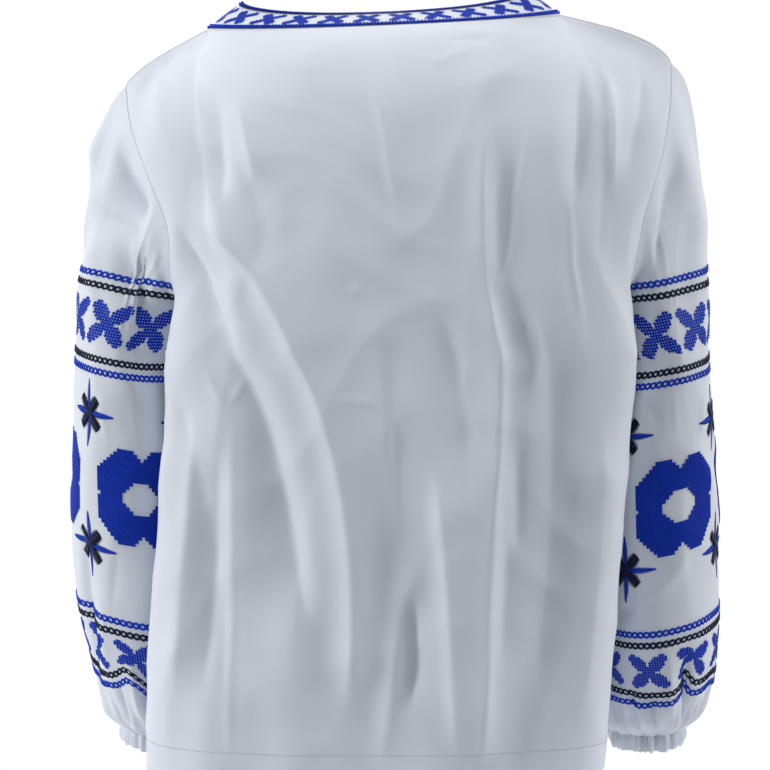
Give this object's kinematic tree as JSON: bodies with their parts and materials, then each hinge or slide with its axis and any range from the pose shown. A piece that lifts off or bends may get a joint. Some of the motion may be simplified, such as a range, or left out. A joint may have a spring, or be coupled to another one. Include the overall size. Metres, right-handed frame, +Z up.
{
  "type": "embroidered blouse",
  "caption": "Pullover blouse of pale poplin, worn shape with no wearer, with long full sleeves gathered into elastic wrists, a wide round neck and embroidered bands, flowers and stars.",
  "frame": {"origin": "middle of the straight line between the two shoulder points, where the wearer's shoulders carry the blouse", "axes": "+Z up, -Y out of the front, +Y out of the back, +X towards the wearer's left"},
  "size_m": [0.5295, 0.253, 0.622],
  "materials": {
    "body_cloth": "pale ice-blue cotton poplin, plain weave, matt",
    "sleeve_cloth": "pale ice-blue cotton poplin worked with royal blue and navy stitching",
    "trim_cloth": "white ground closely worked with royal blue and navy stitching",
    "casing_cloth": "pale ice-blue cotton poplin gathered over elastic"
  },
  "bodies": {
    "root": {"back_panel": "body_cloth", "front_panel": "body_cloth", "sleeve_left": "sleeve_cloth", "sleeve_right": "sleeve_cloth", "neck_band": "trim_cloth", "cuff_left": "casing_cloth", "cuff_right": "casing_cloth"}
  },
  "joints": []
}
